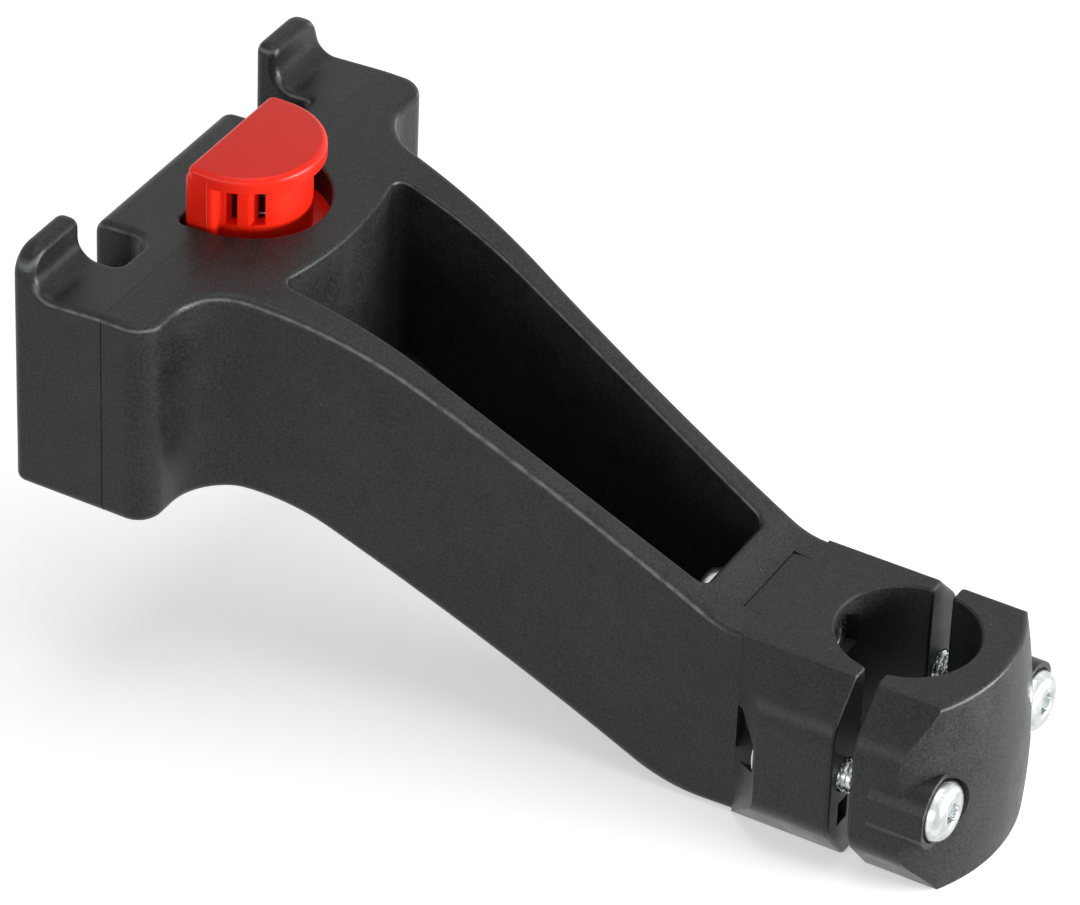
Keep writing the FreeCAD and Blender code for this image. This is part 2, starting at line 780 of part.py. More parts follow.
def clamp_cap():
    body = new_body("clamp_cap")
    face = size("cap_face")
    sketch = new_sketch(body, "cap_outline", "XZ_Plane", [clamp_outline()], offset=face)
    extrude(body, "Pad", "cap_block", sketch, size("barrel_mid_radius") - size("barrel_axis_y"))
    round_ears(body)
    top = size("clamp_height") / 2
    high = size("barrel_top_radius")
    low = size("barrel_low_radius")
    far = low + 40
    around = [(-high, top, size("barrel_bulge_radius")), (-low, -top), (-low, -top - 5), (-far, -top - 5),
              (-far, top + 5), (-high, top + 5)]
    sketch = new_sketch(body, "barrel_side", "YZ_Plane", [around], shift=size("barrel_axis_y"))
    turn(body, "Groove", "barrel_front", sketch)
    soften(body, "Fillet", "cap_edges", size("clamp_edge_round"), lambda edge: on_clamp_rim(edge) or on_crest(edge))
    soften(body, "Fillet", "cap_gap_edges", size("gap_edge_round"), lambda edge: on_gap_outline(edge, -number(face)))
    bosses = [[(side * size("bolt_x"), size("bolt_z"), size("boss_radius"))] for side in (-1, 1)]
    sketch = new_sketch(body, "boss_plan", "XZ_Plane", bosses, offset=face + 4)
    extrude(body, "Pad", "bolt_bosses", sketch, -size("boss_front") - face - 4)
    trim = rectangle(size("boss_side"), -top - 5, size("boss_side") + 10, top + 5)
    sketch = new_sketch(body, "boss_trim_plan", "XZ_Plane", [trim, mirrored(trim)])
    extrude(body, "Pocket", "boss_trim", sketch, both=True)
    cut_bore(body)
    soften(body, "Chamfer", "cap_bore_break", size("bore_edge_break"), on_bore_rim)
    cut_bolt_holes(body)
    bores = [[(side * size("bolt_x"), size("bolt_z"), size("counterbore"))] for side in (-1, 1)]
    sketch = new_sketch(body, "counterbore_plan", "XZ_Plane", bores, offset=-size("bolt_seat"))
    extrude(body, "Pocket", "counterbores", sketch, back=True)
    return body


# Button, spring and retainer


def release_button():
    """Red cap with an overhanging lip, a stem with a block in front and a hidden stop skirt."""
    body = new_body("release_button")
    centre = size("button_y")
    flat = centre + size("button_flat")
    lip = size("button_top") - size("lip_thickness")
    ledge = size("head_top") - size("well_ledge")
    sketch = new_sketch(body, "lip_plan", "XY_Plane", [tombstone(size("button_radius"), centre, flat, 1.6)],
                        offset=lip)
    extrude(body, "Pad", "lip", sketch, size("lip_thickness"))
    soften(body, "Fillet", "lip_round", size("button_edge_round"), lambda edge: runs_along(edge, 0)
           and near(edge.BoundBox.YMin, number(flat)) and near(edge.BoundBox.ZMin, SIZES["button_top"]))
    stem = tombstone(size("stem_radius"), centre, flat - 3, 0.4)
    sketch = new_sketch(body, "stem_plan", "XY_Plane", [stem], offset=ledge - 1)
    extrude(body, "Pad", "stem", sketch, lip - ledge + 1.5)
    half = size("stem_front_half")
    depth = size("stem_front_depth")
    face = flat + size("stem_front_proud")
    block = [(half, flat - depth + 1.2), (half, face - 1.6, 1.6), (half - 1.6, face), (1.6 - half, face, 1.6),
             (-half, face - 1.6), (-half, flat - depth + 1.2, 1.2), (1.2 - half, flat - depth),
             (half - 1.2, flat - depth, 1.2)]
    sketch = new_sketch(body, "block_plan", "XY_Plane", [block], offset=ledge - 1)
    extrude(body, "Pad", "front_block", sketch, lip - ledge + 1.5)
    skirt = tombstone(size("guide_radius"), centre, flat + size("skirt_overlap"), 2.2)
    sketch = new_sketch(body, "skirt_plan", "XY_Plane", [skirt], offset=ledge - size("guide_height"))
    extrude(body, "Pad", "skirt", sketch, size("guide_height"))
    cut_button_slots(body, lip)
    hollow = tombstone(size("stem_radius") - size("button_wall"), centre, flat - 2, 0.8)
    sketch = new_sketch(body, "hollow_plan", "XY_Plane", [hollow], offset=ledge - size("guide_height"))
    extrude(body, "Pocket", "hollow", sketch, lip - size("button_roof") - ledge + size("guide_height"), back=True)
    return body


def cut_button_slots(body, lip):
    """Two upright recesses in each flank of the stem, just below the lip."""
    width = size("button_slot_width")
    centre = size("button_y")
    high = lip - size("button_slot_drop")
    slots = []
    for step in (0.0, 1.0):
        middle = centre - size("button_slot_first") - step * size("button_slot_pitch")
        slots.append(rectangle(middle - width / 2, high - size("button_slot_height"), middle + width / 2, high))
    for side, name in ((-1, "left"), (1, "right")):
        sketch = new_sketch(body, f"slot_side_{name}", "YZ_Plane", slots, offset=side * size("button_slot_floor"))
        extrude(body, "Pocket", f"button_slots_{name}", sketch, 8.0, back=side > 0)


def button_spring():
    """Compression spring between the tower shoulder and the roof of the button, with ground ends."""
    body = new_body("button_spring")
    height = (size("button_top") - size("lip_thickness") - size("button_roof") - size("tower_top")
              - 2 * size("spring_end_gap"))
    wire = size("spring_wire")
    sketch = new_sketch(body, "wire_section", "XZ_Plane", [[(size("spring_radius"), 0, wire)]])
    coil = body.newObject("PartDesign::AdditiveHelix", "coil")
    coil.Profile = sketch
    coil.ReferenceAxis = (sketch, ["V_Axis"])
    coil.Mode = "height-turns-growth"
    coil.Height = number(height)
    coil.Turns = SIZES["spring_turns"]
    bind(coil, "Height", height)
    bind(coil, "Turns", size("spring_turns"))
    checked(coil)
    outer = size("spring_radius") + 3
    for name, level, back in (("ground_foot", 0, False), ("ground_head", height, True)):
        sketch = new_sketch(body, name + "_plan", "XY_Plane", [[(0, 0, outer)]], offset=level)
        extrude(body, "Pocket", name, sketch, 3.0, back=back)
    place(body, 0, size("button_y") - size("spring_back"), size("tower_top") + size("spring_end_gap"))
    return body


def button_retainer():
    """Plate that closes the well from below, with a cored tower and pin for the spring and four ribs."""
    body = new_body("button_retainer")
    gap = size("plate_clearance")
    bottom = size("head_bottom")
    centre = size("button_y") - size("spring_back")
    thick = size("plate_thickness") - gap
    plate = rounded(gap - size("plate_half"), size("plate_rear") + gap, size("plate_half") - gap,
                    size("plate_front") - gap, 4.0 - gap)
    sketch = new_sketch(body, "plate_plan", "XY_Plane", [plate], offset=bottom)
    extrude(body, "Pad", "plate", sketch, thick)
    sketch = new_sketch(body, "tower_plan", "XY_Plane", [[(0, centre, size("tower_radius"))]], offset=bottom)
    extrude(body, "Pad", "tower", sketch, size("tower_top") - bottom)
    sketch = new_sketch(body, "pin_plan", "XY_Plane", [[(0, centre, size("tower_pin_radius"))]], offset=bottom)
    extrude(body, "Pad", "spring_pin", sketch, size("tower_top") - bottom + size("tower_pin_height"))
    add_tower_ribs(body, centre, bottom + thick)
    core = size("tower_radius") - size("tower_wall")
    sketch = new_sketch(body, "core_plan", "XY_Plane", [[(0, centre, core)]], offset=bottom - 1)
    extrude(body, "Pocket", "tower_core", sketch, size("tower_top") - bottom - size("tower_wall") + 1, back=True)
    holes = [[(side * size("plate_screw_x"), size("plate_screw_y"), size("small_screw_radius") + 0.2)]
             for side in (-1, 1)]
    sketch = new_sketch(body, "plate_hole_plan", "XY_Plane", holes, offset=bottom - 1)
    extrude(body, "Pocket", "plate_holes", sketch, size("plate_thickness") + 1, back=True)
    sink = size("small_head_radius") - size("small_screw_radius")
    soften(body, "Chamfer", "countersinks", sink, lambda edge: near(edge.BoundBox.ZMax, number(bottom))
           and near(edge.BoundBox.XLength, 2 * SIZES["small_screw_radius"] + 0.4))
    return body


def add_tower_ribs(body, centre, floor):
    half = size("rib_thickness") / 2
    reach = size("rib_reach")
    long_way = rectangle(-reach, centre - half, reach, centre + half)
    cross_way = rectangle(-half, centre - reach, half, centre + reach)
    for name, outline in (("ribs_across", long_way), ("ribs_along", cross_way)):
        sketch = new_sketch(body, name + "_plan", "XY_Plane", [outline], offset=floor - 0.5)
        extrude(body, "Pad", name, sketch, size("rib_height") + 0.5)


# Bolts, nuts, washers and screws


def turned_bolt(name, radius, length, head_radius, head_height):
    """Domed screw along +Z from the seat of its head, with a hexagon socket in the dome."""
    body = new_body(name)
    edge = 0.6
    dome = head_radius * 0.62
    tip = size("bolt_tip")
    half = [(0, -head_height), (dome, -head_height, head_radius * 0.9), (head_radius, -edge), (head_radius, 0),
            (radius, 0), (radius, length - tip), (radius - tip, length), (0, length)]
    sketch = new_sketch(body, name + "_profile", "XZ_Plane", [half])
    turn(body, "Revolution", name + "_turned", sketch)
    socket = hexagon(0, 0, size("hex_key"))
    sketch = new_sketch(body, name + "_socket_plan", "XY_Plane", [socket], offset=-head_height)
    extrude(body, "Pocket", name + "_socket", sketch, size("hex_key_depth"), back=True)
    return body


def hexagon_nut(name):
    """Nut from Z = 0 up, with a thread bore and its corners turned off at both ends."""
    body = new_body(name)
    bore = size("bolt_radius") + size("thread_gap")
    sketch = new_sketch(body, name + "_plan", "XY_Plane", [hexagon(0, 0, size("nut_flats"), False), [(0, 0, bore)]])
    extrude(body, "Pad", name + "_prism", sketch, size("nut_height"))
    corner = size("nut_flats") * 0.57735 + 0.5
    flat = size("nut_flats") / 2 - 0.1
    rise = (corner - flat) * 0.577
    high = size("nut_height")
    foot = [(flat, 0), (corner, 0), (corner, rise)]
    head = [(flat, high), (corner, high - rise), (corner, high)]
    sketch = new_sketch(body, name + "_turning_plan", "XZ_Plane", [foot, head])
    turn(body, "Groove", name + "_turning", sketch)
    return body


def washer(name):
    body = new_body(name)
    rings = [[(0, 0, size("washer_radius"))], [(0, 0, size("bolt_radius") + size("washer_play"))]]
    sketch = new_sketch(body, name + "_plan", "XY_Plane", rings)
    extrude(body, "Pad", name + "_ring", sketch, size("washer_thickness"))
    return body


def towards_arm():
    """Turns +Z of a fastener to +Y."""
    return Rotation(Vector(1, 0, 0), -90)


def towards_post():
    """Turns +Z of a fastener to -Y."""
    return Rotation(Vector(1, 0, 0), 90)


def clamp_fasteners():
    parts = []
    for side, word in ((-1, "left"), (1, "right")):
        bolt = turned_bolt(f"clamp_bolt_{word}", size("bolt_radius"), size("bolt_length"),
                           size("bolt_head_radius"), size("bolt_head_height"))
        place(bolt, side * size("bolt_x"), size("bolt_seat"), size("bolt_z"), towards_arm())
        nut = hexagon_nut(f"clamp_nut_{word}")
        place(nut, side * size("bolt_x"), size("nut_seat"), size("bolt_z"), towards_arm())
        parts += [bolt, nut]
    return parts


def arm_fasteners():
    parts = []
    wall = size("pocket_start")
    for level, word in zip(arm_screw_levels(), ("upper", "lower")):
        disc = washer(f"arm_washer_{word}")
        place(disc, 0, wall + size("washer_thickness"), level, towards_post())
        screw = turned_bolt(f"arm_screw_{word}", size("bolt_radius"), size("arm_screw_length"),
                            size("arm_head_radius"), size("arm_head_height"))
        place(screw, 0, wall + size("washer_thickness"), level, towards_post())
        nut = hexagon_nut(f"arm_nut_{word}")
        place(nut, 0, size("arm_nut_seat"), level, towards_post())
        parts += [disc, screw, nut]
    return parts


def retainer_screws():
    """Countersunk screws from below, flush with the plate."""
    parts = []
    radius = size("small_screw_radius")
    wide = size("small_head_radius")
    length = size("small_screw_length")
    for side, word in ((-1, "left"), (1, "right")):
        body = new_body(f"retainer_screw_{word}")
        half = [(0, 0), (wide, 0), (wide, 0.15), (radius, wide - radius + 0.15), (radius, length - radius),
                (0.3, length), (0, length)]
        sketch = new_sketch(body, f"small_profile_{word}", "XZ_Plane", [half])
        turn(body, "Revolution", f"small_turned_{word}", sketch)
        bars = [(0.35, 1.5), (1.5, 0.35)]
        for at, (x, y) in enumerate(bars):
            sketch = new_sketch(body, f"cross_{word}_{at}", "XY_Plane", [rectangle(-x, -y, x, y)])
            extrude(body, "Pocket", f"cross_recess_{word}_{at}", sketch, 0.9, back=True)
        place(body, side * size("plate_screw_x"), size("plate_screw_y"), size("head_bottom"))
        parts.append(body)
    return parts


def build():
    fill_sheet()
    parts = [arm_frame(), clamp_base(), clamp_cap(), release_button(), button_spring(), button_retainer()]
    parts += clamp_fasteners() + arm_fasteners() + retainer_screws()
    doc.recompute()
    for item in doc.Objects:
        if "Invalid" in item.State or "Error" in item.State:
            raise RuntimeError(f"{item.Name} is {item.State}")
    os.makedirs("parts", exist_ok=True)
    for part in parts:
        part.Label = part.Name
        if part.Shape.isNull() or not part.Shape.isValid():
            raise RuntimeError(f"{part.Name} has no valid shape")
        part.Shape.exportStep(f"parts/{part.Name}.step")
        print(part.Name, round(part.Shape.Volume), part.Shape.BoundBox)


build()
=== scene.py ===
"""Bicycle handlebar bag mount: finishes, threads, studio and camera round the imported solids.

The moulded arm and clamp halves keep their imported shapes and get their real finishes. The
four main bolts and screws are rebuilt with a driven head and a rolled thread, and the button
with deeper front slots.
"""

import logging
import math
from dataclasses import dataclass, field
from enum import Enum

import bmesh
import bpy
from mathutils import Matrix, Vector

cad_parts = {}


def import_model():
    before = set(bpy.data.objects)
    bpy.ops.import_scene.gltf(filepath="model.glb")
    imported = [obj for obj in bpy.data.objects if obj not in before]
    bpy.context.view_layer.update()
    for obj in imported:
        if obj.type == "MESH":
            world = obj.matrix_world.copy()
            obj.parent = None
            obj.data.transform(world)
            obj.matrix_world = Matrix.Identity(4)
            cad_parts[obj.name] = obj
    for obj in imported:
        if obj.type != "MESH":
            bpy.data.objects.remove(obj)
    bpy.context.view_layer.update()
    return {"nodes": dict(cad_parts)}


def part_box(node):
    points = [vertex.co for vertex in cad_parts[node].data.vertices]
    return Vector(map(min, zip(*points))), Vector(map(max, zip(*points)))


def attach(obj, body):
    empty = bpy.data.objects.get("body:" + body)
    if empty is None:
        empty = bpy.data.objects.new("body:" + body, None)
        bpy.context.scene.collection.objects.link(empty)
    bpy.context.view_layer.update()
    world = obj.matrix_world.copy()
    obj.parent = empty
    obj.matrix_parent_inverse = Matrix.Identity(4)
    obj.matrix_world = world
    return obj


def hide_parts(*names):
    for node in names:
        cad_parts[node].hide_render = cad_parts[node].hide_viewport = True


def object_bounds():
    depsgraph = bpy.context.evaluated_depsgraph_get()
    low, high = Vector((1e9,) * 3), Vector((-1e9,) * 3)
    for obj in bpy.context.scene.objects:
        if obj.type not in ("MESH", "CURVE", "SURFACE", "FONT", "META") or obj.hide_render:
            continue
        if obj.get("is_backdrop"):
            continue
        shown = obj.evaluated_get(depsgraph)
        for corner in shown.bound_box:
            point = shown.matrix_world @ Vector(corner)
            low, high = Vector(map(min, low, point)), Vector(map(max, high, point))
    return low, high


LOG = logging.getLogger("bag_mount")
MM = 0.001
PLASTIC_IOR = 1.48

Socket = bpy.types.NodeSocket
Tree = bpy.types.NodeTree
Nodes = dict[str, bpy.types.Object]


def linear(code: str) -> tuple[float, float, float, float]:
    """Turns an sRGB hex colour to the linear colour that a shader takes.

    Args:
        code: six hex digits, with or without a leading hash.

    Returns:
        Red, green, blue and an alpha of 1.
    """
    text = code.lstrip("#")
    parts = [int(text[i : i + 2], 16) / 255 for i in (0, 2, 4)]
    plain = [p / 12.92 if p <= 0.04045 else ((p + 0.055) / 1.055) ** 2.4 for p in parts]
    return plain[0], plain[1], plain[2], 1.0


def put(tree: Tree, socket: Socket, value: object) -> None:
    """Links a socket to the input, or writes a plain value there."""
    if isinstance(value, Socket):
        tree.links.new(value, socket)
    else:
        socket.default_value = value


def add_node(
    tree: Tree, kind: str, inputs: dict | None = None, **settings: object
) -> bpy.types.Node:
    """Adds a node with its settings, values and links.

    Args:
        tree: the tree that gets the node.
        kind: the node's type.
        inputs: a value or an output socket for each named or numbered input.
        settings: the node's own properties.

    Returns:
        The new node.
    """
    node = tree.nodes.new(kind)
    for name, value in settings.items():
        setattr(node, name, value)
    for name, value in (inputs or {}).items():
        put(tree, node.inputs[name], value)
    return node


def per_metre(size_mm: float) -> float:
    """Gives the noise scale, in cells a metre, whose cells are size_mm across."""
    return 1 / (size_mm * MM)


def noise(tree: Tree, place: Socket, size_mm: float, detail: float, twist: float = 0.0) -> Socket:
    """Adds a noise pattern whose cells are size_mm across.

    Args:
        tree: the tree that gets it.
        place: the coordinates it follows.
        size_mm: the size of a cell.
        detail: the number of finer layers.
        twist: how far the pattern is distorted.

    Returns:
        Its value socket.
    """
    inputs = {"Vector": place, "Scale": per_metre(size_mm), "Detail": detail, "Distortion": twist}
    return add_node(tree, "ShaderNodeTexNoise", inputs).outputs["Fac"]


def reckon(tree: Tree, operation: str, *values: object) -> Socket:
    """Adds one step of arithmetic on numbers or sockets and gives its result."""
    return add_node(tree, "ShaderNodeMath", dict(enumerate(values)), operation=operation).outputs[0]


def spread(
    tree: Tree,
    value: Socket,
    from_low: float,
    from_high: float,
    to_low: float = 0.0,
    to_high: float = 1.0,
) -> Socket:
    """Stretches one range of a value over another, held at its ends."""
    ends = {"From Min": from_low, "From Max": from_high, "To Min": to_low, "To Max": to_high}
    return add_node(tree, "ShaderNodeMapRange", {"Value": value, **ends}).outputs[0]


def blend(tree: Tree, factor: Socket, first: object, second: object) -> Socket:
    """Mixes two colours, each a hex code or a colour socket."""
    node = add_node(tree, "ShaderNodeMix", data_type="RGBA")
    ends = [linear(colour) if isinstance(colour, str) else colour for colour in (first, second)]
    for name, value in zip(("Factor", "A", "B"), (factor, *ends)):
        put(tree, node.inputs[name], value)
    return node.outputs["Result"]


def new_material(name: str) -> tuple[bpy.types.Material, Tree]:
    """Makes an empty node material.

    Args:
        name: the material's name.

    Returns:
        The material and its node tree.
    """
    material = bpy.data.materials.new(name)
    material.use_nodes = True
    material.node_tree.nodes.clear()
    return material, material.node_tree


def close_material(tree: Tree, shader: bpy.types.Node) -> None:
    """Joins the shader to the tree's output."""
    add_node(tree, "ShaderNodeOutputMaterial", {"Surface": shader.outputs[0]})


def relief(tree: Tree, height: Socket, depth_mm: float, strength: float) -> Socket:
    """Gives the bumped normal of a height pattern."""
    inputs = {"Height": height, "Distance": depth_mm * MM, "Strength": strength}
    return add_node(tree, "ShaderNodeBump", inputs).outputs[0]


def plastic(
    tree: Tree, colour: Socket, rough: Socket, normal: Socket, gloss: float
) -> bpy.types.Node:
    """Gives the shader of a moulded plastic."""
    inputs = {"Base Color": colour, "Roughness": rough, "Normal": normal}
    plain = {"IOR": PLASTIC_IOR, "Specular IOR Level": gloss}
    return add_node(tree, "ShaderNodeBsdfPrincipled", inputs | plain)


def as_object(name: str, shape: bmesh.types.BMesh) -> bpy.types.Object:
    """Turns a shape into an object of the scene, and frees the shape.

    Args:
        name: the object's name.
        shape: its shape, in metres.

    Returns:
        The new object, at the origin.
    """
    mesh = bpy.data.meshes.new(name)
    shape.to_mesh(mesh)
    shape.free()
    piece = bpy.data.objects.new(name, mesh)
    bpy.context.collection.objects.link(piece)
    return piece


def smooth(mesh: bpy.types.Mesh, material: bpy.types.Material, sharp_degrees: float) -> None:
    """Gives a mesh one material and smooth shading, with edges above the angle kept sharp."""
    mesh.materials.clear()
    mesh.materials.append(material)
    mesh.shade_smooth()
    mesh.set_sharp_from_angle(angle=math.radians(sharp_degrees))


def bridge(shape: bmesh.types.BMesh, loops: list[list[bmesh.types.BMVert]]) -> None:
    """Joins each loop of points to the next with a band of four-sided faces."""
    for one, other in zip(loops, loops[1:]):
        for index, _ in enumerate(one):
            after = (index + 1) % len(one)
            shape.faces.new((one[index], one[after], other[after], other[index]))


@dataclass(frozen=True)
class GrainedPlastic:
    """Glass filled nylon from a spark-eroded mould.

    It looks dull and dark, with a fine uneven grain, a few specks of dust, and a painted
    highlight on the upper rims that partly stands for handling wear.
    """

    name: str = "moulded glass filled nylon"
    dark: str = "#141616"
    light: str = "#2c2f2e"
    # Pale colour of the upper rims: a painted highlight, partly handling wear.
    rim_highlight_and_wear: str = "#6f7473"
    dust: str = "#7d8280"
    # The real grain is about 0.1 mm, too fine for a pixel, so it is drawn at 0.45 mm.
    grain_mm: float = 0.45
    mottle_mm: float = 7.0
    cloud_mm: float = 38.0
    # How much the grain weighs beside the patches, and the sums that give the two colours.
    grain_weight: float = 2.4
    patch_weight: float = 0.5
    tone_ends: tuple[float, float] = (1.3, 2.1)
    mottle_ends: tuple[float, float] = (0.3, 0.7)
    # The pale rims, a painted highlight that partly stands for rub wear, show where the normal rises
    # between the first and last value, and most between the middle ones. They also have to point
    # sideways, and to lie on the arm or the head.
    highlight_rise: tuple[float, float, float, float] = (0.25, 0.45, 0.5, 0.7)
    highlight_aside: tuple[float, float] = (0.1, 0.3)
    highlight_from_mm: tuple[float, float] = (27.0, 33.0)
    # The painted rim highlight is patchy: the ends of its noise, and the shares of the pale colour
    # there.
    highlight_patch_mm: float = 2.4
    highlight_patch_ends: tuple[float, float] = (0.35, 0.6)
    highlight_patch_shares: tuple[float, float] = (0.3, 1.0)
    highlight_share: float = 0.75
    dust_spacing_mm: float = 5.0
    dust_radius_mm: float = 0.13
    dust_core: float = 0.5
    dust_limit: float = 0.62
    roughness: tuple[float, float] = (0.32, 0.46)
    relief_mm: float = 0.04
    relief_strength: float = 0.6
    gloss: float = 0.27

    def build(self) -> bpy.types.Material:
        """Builds the material and returns it."""
        material, tree = new_material(self.name)
        place = add_node(tree, "ShaderNodeTexCoord").outputs["Object"]
        grain = noise(tree, place, self.grain_mm, detail=3.0)
        mottle = noise(tree, place, self.mottle_mm, detail=4.0)
        cloud = noise(tree, place, self.cloud_mm, detail=2.0)
        patches = reckon(tree, "MULTIPLY", reckon(tree, "ADD", mottle, cloud), self.patch_weight)
        tone = reckon(tree, "MULTIPLY_ADD", grain, self.grain_weight, patches)
        base = blend(tree, spread(tree, tone, *self.tone_ends), self.dark, self.light)
        # Painted highlight on the upper rims, partly rub wear, in the pale colour.
        highlit_and_worn = blend(tree, self.rim_highlight_and_wear_mask(tree, place), base, self.rim_highlight_and_wear)
        colour = blend(tree, self.dust_mask(tree, place), highlit_and_worn, self.dust)
        rough = spread(tree, mottle, *self.mottle_ends, *self.roughness)
        normal = relief(tree, grain, self.relief_mm, self.relief_strength)
        close_material(tree, plastic(tree, colour, rough, normal, self.gloss))
        return material

    def rim_highlight_and_wear_mask(self, tree: Tree, place: Socket) -> Socket:
        """Gives a patchy mask of painted highlight, partly rub wear, on the upper side rims, whose
        faces tilt both sideways and up.

        Args:
            tree: the material's tree.
            place: the object coordinates.

        Returns:
            The share of the pale colour of the painted highlight and wear, 0 away from the rims.
        """
        facing = add_node(tree, "ShaderNodeTexCoord").outputs["Normal"]
        parts = add_node(tree, "ShaderNodeSeparateXYZ", {0: facing}).outputs
        rise, aside = parts["Z"], reckon(tree, "ABSOLUTE", parts["X"])
        along = add_node(tree, "ShaderNodeSeparateXYZ", {0: place}).outputs["Y"]
        patches = noise(tree, place, self.highlight_patch_mm, detail=3.0)
        first, full, fading, last = self.highlight_rise
        shares = (
            spread(tree, rise, last, fading),
            spread(tree, aside, *self.highlight_aside),
            spread(tree, along, *(edge * MM for edge in self.highlight_from_mm)),
            spread(tree, patches, *self.highlight_patch_ends, *self.highlight_patch_shares),
            self.highlight_share,
        )
        mask = spread(tree, rise, first, full)
        for share in shares:
            mask = reckon(tree, "MULTIPLY", mask, share)
        return mask

    def dust_mask(self, tree: Tree, place: Socket) -> Socket:
        """Gives a mask of small specks of dust, in the cells whose random tone is above the limit.

        Args:
            tree: the material's tree.
            place: the object coordinates.

        Returns:
            1 on a speck and 0 beside it.
        """
        inputs = {"Vector": place, "Scale": per_metre(self.dust_spacing_mm)}
        cells = add_node(tree, "ShaderNodeTexVoronoi", inputs)
        reach = self.dust_radius_mm / self.dust_spacing_mm
        dots = spread(tree, cells.outputs["Distance"], reach, reach * self.dust_core)
        chosen = reckon(tree, "GREATER_THAN", cells.outputs["Color"], self.dust_limit)
        return reckon(tree, "MULTIPLY", dots, chosen)


@dataclass(frozen=True)
class GlossPlastic:
    """Polished acetal: an even bright skin with a soft gloss, faint flow marks and fine scuffs."""

    name: str = "polished red acetal"
    deep: str = "#ea210d"
    bright: str = "#f62812"
    flow_mm: float = 9.0
    ripple_mm: float = 1.6
    ripple_depth_mm: float = 0.005
    ripple_strength: float = 0.5
    scuff_mm: float = 0.9
    dulled_ends: tuple[float, float] = (0.15, 0.4)
    roughness: tuple[float, float] = (0.3, 0.37)
    gloss: float = 0.3

    def build(self) -> bpy.types.Material:
        """Builds the material and returns it."""
        material, tree = new_material(self.name)
        place = add_node(tree, "ShaderNodeTexCoord").outputs["Object"]
        flow = noise(tree, place, self.flow_mm, detail=2.0, twist=0.8)
        ripple = noise(tree, place, self.ripple_mm, detail=3.0)
        scuffs = noise(tree, place, self.scuff_mm, detail=4.0, twist=1.5)
        colour = blend(tree, flow, self.deep, self.bright)
        dulled = reckon(tree, "MULTIPLY", ripple, scuffs)
        rough = spread(tree, dulled, *self.dulled_ends, *self.roughness)
        normal = relief(tree, ripple, self.ripple_depth_mm, self.ripple_strength)
        close_material(tree, plastic(tree, colour, rough, normal, self.gloss))
        return material


@dataclass(frozen=True)
class PlatedSteel:
    """Steel with a plated or drawn skin: metal with fine tool marks and small dull patches."""

    name: str
    bright: str
    dull: str
    roughness: tuple[float, float]
    patch_mm: float = 1.8
    patch_ends: tuple[float, float] = (0.35, 0.65)
    mark_mm: float = 0.35
    mark_depth_mm: float = 0.01
    mark_strength: float = 0.5

    def build(self) -> bpy.types.Material:
        """Builds the material and returns it."""
        material, tree = new_material(self.name)
        place = add_node(tree, "ShaderNodeTexCoord").outputs["Object"]
        patches = noise(tree, place, self.patch_mm, detail=3.0)
        marks = noise(tree, place, self.mark_mm, detail=2.0)
        colour = blend(tree, spread(tree, patches, *self.patch_ends), self.dull, self.bright)
        rough = spread(tree, patches, 0.0, 1.0, *reversed(self.roughness))
        normal = relief(tree, marks, self.mark_depth_mm, self.mark_strength)
        inputs = {"Base Color": colour, "Metallic": 1.0, "Roughness": rough, "Normal": normal}
        close_material(tree, add_node(tree, "ShaderNodeBsdfPrincipled", inputs))
        return material


class Finish(Enum):
    """The finishes of the mount, each with the recipe that builds it."""

    CHARCOAL = GrainedPlastic()
    # The black finish also gets the painted rim highlight, partly wear, in a darker pale colour.
    BLACK = GrainedPlastic(
        "moulded black nylon", dark="#131414", light="#1d1f1f", rim_highlight_and_wear="#3c3f3e", dust="#5c5f5e"
    )
    RED = GlossPlastic()
    ZINC = PlatedSteel("bright zinc plated steel", "#eef1f1", "#c4c9c9", (0.2, 0.34))
    DARK_STEEL = PlatedSteel("blackened steel", "#5a5b5e", "#3c3d40", (0.34, 0.5))
    SPRING = PlatedSteel("drawn spring wire", "#b9bcc0", "#8f9397", (0.26, 0.4))


class Palette:
    """Builds each finish once and hands it out."""

    def __init__(self) -> None:
        """Starts with no material built."""
        self.built: dict[Finish, bpy.types.Material] = {}

    def get(self, finish: Finish) -> bpy.types.Material:
        """Gives the material of a finish, building it the first time."""
        if finish not in self.built:
            self.built[finish] = finish.value.build()
        return self.built[finish]


def dress(nodes: Nodes, name: str, material: bpy.types.Material) -> None:
    """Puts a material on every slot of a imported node.

    Args:
        nodes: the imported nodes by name.
        name: the node's name.
        material: the finish it gets.
    """
    piece = nodes[name]
    if not piece.material_slots:
        piece.data.materials.append(material)
    for slot in piece.material_slots:
        slot.material = material


